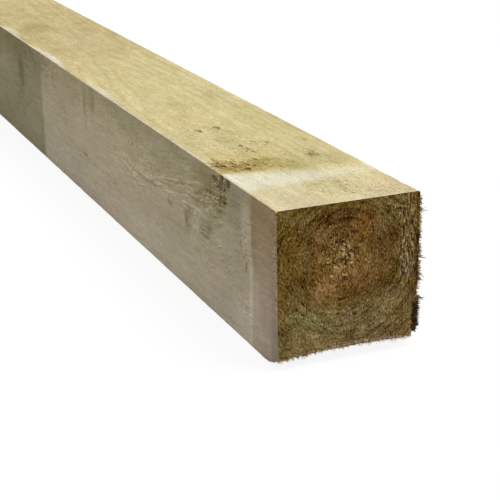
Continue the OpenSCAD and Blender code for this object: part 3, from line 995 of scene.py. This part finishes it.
def roughCutter(name, span, steps, surface, away):
    # a solid with a rough sheet as its inner face: surface(u, v) gives it, and away leads out of the wood
    selectNone()
    (u0, u1), (v0, v1) = span
    bpy.ops.mesh.primitive_grid_add(size=1, x_subdivisions=steps[0], y_subdivisions=steps[1])
    cutter = bpy.context.object
    cutter.name = name
    places = placesOf(cutter) + 0.5
    places = np.array([surface(u0 + u * (u1 - u0), v0 + v * (v1 - v0)) for u, v, _ in places])
    setPlaces(cutter, places)
    bpy.ops.object.mode_set(mode="EDIT")
    bpy.ops.mesh.select_all(action="SELECT")
    bpy.ops.mesh.extrude_region_move(TRANSFORM_OT_translate={"value": away})
    bpy.ops.mesh.select_all(action="SELECT")
    bpy.ops.mesh.normals_make_consistent(inside=False)
    bpy.ops.object.mode_set(mode="OBJECT")
    cutter.data.materials.append(tornWood)
    return cutter


def tornHeight(x, y):
    # surface of the tear under the near end, highest near the middle, which fades out along the underside
    tear = batten["tear"]
    tall = 1 - ((x - tear["middle"]) / tear["halfWide"]) ** 2
    tall = tear["height"] * (tear["least"] + tear["swell"] * max(tall, 0.0))
    radius = (tear["length"] ** 2 + tall ** 2) / (2 * tall)
    left = min(max(tear["length"] - (y - nearEnd), 0.0), radius)
    z = radius - math.sqrt(radius * radius - left * left)
    rough = noise.noise((x * 620, y * 60, 2.0)) + 0.6 * noise.noise((x * 1700, y * 170, 4.0))
    z += tear["rough"] * rough * (0.3 + 0.7 * min(left / tear["length"], 1))
    return z if left else z - tear["clear"]


def tornSide(y, z):
    # surface of the chip, the flake and the broken corner, whichever lies deepest in the wood
    chip, bite, flake, corner = (batten[name] for name in ("chip", "bite", "flake", "corner"))
    back = y - nearEnd
    lens = max(1 - ((z - chip["middle"]) / (chip["length"] / 2)) ** 2, 0.0) ** chip["power"]
    bitten = bite["depth"] * math.exp(-((z - bite["at"]) / bite["reach"]) ** 2)
    chipX = halfWidth - chip["width"] * lens - bitten + back * chip["width"] / chip["depth"] + chip["clear"]
    cornerX = halfWidth - corner["width"] * (1 - back / corner["length"] - z / corner["height"])
    lost = ramp(z, *flake["low"]) - ramp(z, *flake["high"])
    lost *= (flake["width"] + flake["clear"]) * (1 - back / flake["depth"])
    rough = noise.noise((z * 700, y * 90, 7.0)) + 0.6 * noise.noise((z * 1900, y * 260, 9.0))
    x = min(chipX, cornerX, halfWidth + flake["clear"] - lost) + chip["rough"] * rough
    return min(x, halfWidth + 1 * mm)


def tearNearEnd(body, size):
    over, away = 3 * mm, 8 * mm  # past the wood all round, and out of it
    front = nearEnd - over
    tearBack = nearEnd + size["tear"]["length"] + 4 * mm
    chipBack = nearEnd + size["corner"]["length"] + 2 * mm
    under = roughCutter(
        "tearCutter", ((-halfWidth - over, halfWidth + over), (front, tearBack)), size["tear"]["steps"],
        lambda x, y: (x, y, tornHeight(x, y)), (0, 0, -away))
    beside = roughCutter(
        "chipCutter", ((front, chipBack), (-over, height + over)), size["chip"]["steps"],
        lambda y, z: (tornSide(y, z), y, z), (away, 0, 0))
    for cutter in (under, beside):
        applyModifier(body, "BOOLEAN", operation="DIFFERENCE", object=cutter, solver="EXACT",
                      material_mode="TRANSFER")
        bpy.data.objects.remove(cutter)


bakeMap = {
    "side": 1024, "gap": 3,  # of the map, and between its rows, in dots
    # where each part of the length starts, the size of a dot on it and the height of its rows
    "parts": [(0, 0.48 * mm, 108), (400 * mm, 0.715 * mm, 73), (1100 * mm, 0.715 * mm, 73)],
    # where the near and the far end lie on the map, and the size of a dot on each
    "ends": [(840, 3, 0.262 * mm), (840, 202, 0.39 * mm)],
}


def layMap(body, size):
    # a flat map in rows, finest where the part is seen from near
    layer = body.data.uv_layers.new(name="OFBake")
    side, gap = size["side"], size["gap"]
    points = body.data.vertices
    for face in body.data.polygons:
        normal, middle = face.normal, face.center
        across = 0 if abs(normal.z) > abs(normal.x) - 0.01 else 2
        strip = (0 if normal.z > 0 else 1) if across == 0 else (2 if normal.x < 0 else 3)
        part = sum(middle.y - nearEnd > start for start, _, _ in size["parts"][1:])
        start, dot, pitch = size["parts"][part]
        row = strip * pitch if part == 0 else 4 * size["parts"][0][2] + (2 * strip + part - 1) * pitch
        left, low = gap, gap + row
        isEnd = abs(normal.y) > max(abs(normal.x), abs(normal.z))
        if isEnd:
            left, low, dot = size["ends"][0 if middle.y < 0 else 1]
        for loop in face.loop_indices:
            place = points[body.data.loops[loop].vertex_index].co
            if isEnd:
                u, v = place.x + halfWidth, place.z
            else:
                u, v = place.y - nearEnd - start, place[across] + (halfWidth if across == 0 else 0)
            layer.data[loop].uv = ((left + u / dot) / side, (low + v / dot) / side)


body = sawnBlank(batten)
print("blank:", len(body.data.vertices), "points", len(body.data.polygons), "faces")
for material in (sawnSides, sawnTop, endGrain, tornWood):
    body.data.materials.append(material)
for face in body.data.polygons:
    isTop = face.center.z > height - batten["topDown"]
    face.material_index = 2 if abs(face.normal.y) > 0.9 else int(isTop)
weather(body, batten)
tearNearEnd(body, batten)
selectOnly(body)
bpy.ops.object.shade_smooth_by_angle(angle=math.radians(35))
layMap(body, bakeMap)
print("body:", len(body.data.vertices), "points", len(body.data.polygons), "faces")
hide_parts("batten")
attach(body, "root")

rightFibres = {
    # a burr on the chip, then short ones up the edge: how far behind the end and how high they root
    "kinds": [
        {"count": 320, "length": (0.6 * mm, 1.7 * mm), "thick": 0.15 * mm,
         "back": (0.3 * mm, 0.9 * mm), "up": (5 * mm, 16 * mm)},
        {"count": 420, "length": (0.5 * mm, 1.4 * mm), "thick": 0.14 * mm,
         "back": (0.0, 0.35 * mm), "up": (5 * mm, 48.5 * mm)},
    ],
    # height of each tuft above the underside, the length of its longest hair and its rise, in mm
    "tufts": [(44.3, 2.8, -0.25), (39.0, 1.5, -0.3), (36.0, 1.4, 0.0), (32.4, 1.3, -0.2), (29.2, 2.6, 0.0),
              (27.4, 1.7, -0.4), (24.0, 2.4, -0.5), (22.4, 2.2, -0.6), (16.6, 3.6, -0.6), (12.2, 1.5, -0.3),
              (10.2, 1.3, 0.1), (6.6, 1.2, -0.2)],
    "hairs": 5, "hairThick": 0.27 * mm, "droop": 0.2,
    "hairShorter": 0.78,  # each hair of a tuft against the one before
    "dark": tone(62, 40, 20), "pale": tone(186, 148, 104),
    # painted shade on the fibres low on the chip
    "shade": {"tone": tone(42, 27, 14), "upTo": (14 * mm, 16.5 * mm), "share": 0.85},
}
lowerFibres = {
    # short ones all over the tear, then fewer long ones among them
    "kinds": [
        {"count": 560, "length": (0.4 * mm, 1.3 * mm), "thick": 0.13 * mm},
        {"count": 90, "length": (1.1 * mm, 2.0 * mm), "thick": 0.11 * mm},
    ],
    "short": 1.8 * mm,  # how far short of the right side they stop
    "foot": {"count": 26, "length": (0.4 * mm, 1.0 * mm), "thick": 0.07 * mm},  # along the lower left arris
    "dark": tone(132, 100, 72), "pale": tone(212, 188, 160),
}
rootDepth = 0.2 * mm  # of a fibre in the wood


def strandShape(name):
    # one tapered strand of unit length and thickness along +Z
    selectNone()
    bpy.ops.mesh.primitive_cone_add(vertices=4, radius1=1, radius2=0.25, depth=1, location=(0, 0, 0.5))
    strand = bpy.context.object
    strand.name = name
    settle(strand)
    bpy.ops.object.mode_set(mode="EDIT")
    pickEdges(strand, lambda a, b: abs(a.z - b.z) > 0.5)
    bpy.ops.mesh.subdivide(number_cuts=4)
    bpy.ops.object.mode_set(mode="OBJECT")
    return strand


def plantStrand(strand, root, direction, long, thick, dice, droop=0.0):
    # a copy of the strand, bent as it grows
    copy = strand.copy()
    copy.data = strand.data.copy()
    bpy.context.collection.objects.link(copy)
    bend, turn = dice.uniform(-0.45, 0.45), dice.uniform(0, wholeTurn)
    direction = direction.normalized()
    aside = direction.cross(Vector((0, 1, 0.01))).normalized()
    aside = (Matrix.Rotation(turn, 3, direction) @ aside).normalized()
    across = direction.cross(aside)
    places = placesOf(copy)
    for index, (x, y, z) in enumerate(places):
        sway = bend * z * z + 0.1 * math.sin(z * 7 + turn) * z
        place = root + direction * (z * long) + aside * (x * thick + sway * long) + across * (y * thick)
        place.z -= droop * z * z * long
        places[index] = place
    setPlaces(copy, places)
    return copy


def joinAs(name, parts, material):
    selectNone()
    for part in parts:
        part.select_set(True)
    bpy.context.view_layer.objects.active = parts[0]
    bpy.ops.object.join()
    joined = bpy.context.object
    joined.name = joined.data.name = name
    joined.data.materials.clear()
    joined.data.materials.append(material)
    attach(joined, "root")


def makeFibre(name, look):
    material, tree, surface, place = newMaterial(name)
    patchy = noiseOf(tree, place, 900.0, 2.0)
    colour = mixed(tree, between(tree, patchy, 0.4, 0.6), look["dark"], look["pale"])
    # painted shade low down, where the look gives it
    shade = look.get("shade")
    if shade:
        parts = addNode(tree, "SeparateXYZ", inputs={0: place}).outputs
        low = times(tree, fall(tree, parts["Z"], *shade["upTo"]), shade["share"])
        colour = mixed(tree, low, colour, shade["tone"])
    finishMaterial(tree, surface, colour, patchy, 0.05 * mm, 0.9, 0.05)
    return material


def plantKind(strand, root, direction, kind, dice):
    long, thick = dice.uniform(*kind["length"]), kind["thick"] * dice.uniform(0.6, 1.3)
    return plantStrand(strand, root, direction, long, thick, dice)


def growRight(strand, size, dice):
    def rooted(y, z):
        return Vector((min(tornSide(y, z), halfWidth) - rootDepth, y, z))

    fibres = []
    for kind in size["kinds"]:
        for _ in range(kind["count"]):
            y, z = nearEnd + dice.uniform(*kind["back"]), dice.uniform(*kind["up"])
            direction = Vector((1, dice.uniform(-0.6, 0.2), dice.gauss(-0.15, 0.5)))
            fibres.append(plantKind(strand, rooted(y, z), direction, kind, dice))
    for up, longest, lift in size["tufts"]:
        for hair in range(size["hairs"]):
            direction = Vector((1, dice.uniform(-0.2, 0.1), lift + dice.uniform(-0.25, 0.25)))
            root = rooted(nearEnd + 0.3 * mm, (up + dice.uniform(-0.35, 0.35)) * mm)
            long = longest * mm * size["hairShorter"] ** hair
            fibres.append(plantStrand(strand, root, direction, long, size["hairThick"], dice, size["droop"]))
    return fibres


def growLower(strand, size, dice):
    fibres = []
    for kind in size["kinds"]:
        for _ in range(kind["count"]):
            x = dice.uniform(-halfWidth, halfWidth - size["short"])
            y = nearEnd + dice.uniform(0.05, 1.0) * mm
            direction = Vector((dice.gauss(0.25, 0.5), dice.uniform(-0.7, 0.2), -1))
            root = Vector((x, y, tornHeight(x, y) + rootDepth))
            fibres.append(plantKind(strand, root, direction, kind, dice))
    inset = 0.3 * mm  # from the arris
    for _ in range(size["foot"]["count"]):
        y = nearEnd + dice.uniform(0.5, 12) * mm
        root = Vector((inset - halfWidth, y, max(tornHeight(-halfWidth, y), 0) + inset))
        direction = Vector((dice.uniform(-1, 0.1), dice.uniform(-0.6, 0.6), -0.35))
        fibres.append(plantKind(strand, root, direction, size["foot"], dice))
    return fibres


def growFibres():
    dice = random.Random(11)
    strand = strandShape("strand")
    right = growRight(strand, rightFibres, dice)
    lower = growLower(strand, lowerFibres, dice)
    bpy.data.objects.remove(strand)
    joinAs("rightEdgeFibres", right, makeFibre("darkFibre", rightFibres))
    joinAs("lowerEdgeFibres", lower, makeFibre("redFibre", lowerFibres))


growFibres()
print("fibres grown")

studio = {
    # metres, degrees and, for the lens, mm
    "floor": 40.0, "floorDrop": 0.05 * mm, "floorColour": 0.8,  # what the floor throws back
    "floorSeen": 0.12, "floorGlow": 0.9,  # and what shows of it: white, with the shadow faint
    "worldLevel": 0.52, "sun": 1.68, "sunTurn": (15, 22, 0), "sunSize": 35,
    "lens": 96.876, "azimuth": -22.732, "elevation": 19.391, "roll": -0.969, "distance": 0.38402,
    "aim": (-0.03188, 0.0, 0.03968),  # from the middle of the near end's lower edge
}


def seenDirectly(tree):
    # 1 for the camera, and for what mirrors and glass show
    rays = addNode(tree, "LightPath").outputs
    shiny = maths(tree, "MAXIMUM", rays["Is Glossy Ray"], rays["Is Transmission Ray"])
    return maths(tree, "MAXIMUM", rays["Is Camera Ray"], shiny)


def makeFloor():
    selectNone()
    bpy.ops.mesh.primitive_plane_add(size=studio["floor"], location=(0, 0, -studio["floorDrop"]))
    floor = bpy.context.object
    floor.name = "studioFloor"
    material = bpy.data.materials.new("floorPaper")
    material.use_nodes = True
    tree = material.node_tree
    surface = tree.nodes["Principled BSDF"]
    seen = seenDirectly(tree)
    grey = between(tree, seen, 0.0, 1.0, studio["floorColour"], studio["floorSeen"])
    tree.links.new(grey, surface.inputs["Base Color"])
    surface.inputs["Roughness"].default_value = 1.0
    surface.inputs["Specular IOR Level"].default_value = 0.0
    surface.inputs["Emission Color"].default_value = (1, 1, 1, 1)
    glow = maths(tree, "MULTIPLY", seen, studio["floorGlow"])
    tree.links.new(glow, surface.inputs["Emission Strength"])
    floor.data.materials.append(material)


def makeLight():
    world = bpy.data.worlds.new("studio")
    bpy.context.scene.world = world
    world.use_nodes = True
    tree = world.node_tree
    back = tree.nodes["Background"]
    back.inputs["Color"].default_value = (1, 1, 1, 1)
    level = between(tree, seenDirectly(tree), 0.0, 1.0, studio["worldLevel"], 1.0)
    tree.links.new(level, back.inputs["Strength"])
    turn = tuple(math.radians(angle) for angle in studio["sunTurn"])
    bpy.ops.object.light_add(type="SUN", rotation=turn)
    sun = bpy.context.object
    sun.data.energy = studio["sun"]
    sun.data.angle = math.radians(studio["sunSize"])


def makeCamera():
    azimuth, elevation = math.radians(studio["azimuth"]), math.radians(studio["elevation"])
    level = math.cos(elevation)
    back = Vector((math.sin(azimuth) * level, -math.cos(azimuth) * level, math.sin(elevation)))
    aim = Vector(studio["aim"]) + Vector((0, nearEnd, 0))
    bpy.ops.object.camera_add(location=aim + back * studio["distance"])
    camera = bpy.context.object
    roll = Matrix.Rotation(math.radians(studio["roll"]), 3, "Z")
    camera.rotation_euler = ((-back).to_track_quat("-Z", "Y").to_matrix() @ roll).to_euler()
    camera.data.lens = studio["lens"]
    camera.data.clip_start, camera.data.clip_end = 0.01, 100
    bpy.context.scene.camera = camera


makeFloor()
makeLight()
makeCamera()
bpy.context.scene.view_settings.view_transform = "Standard"
print("scene done")
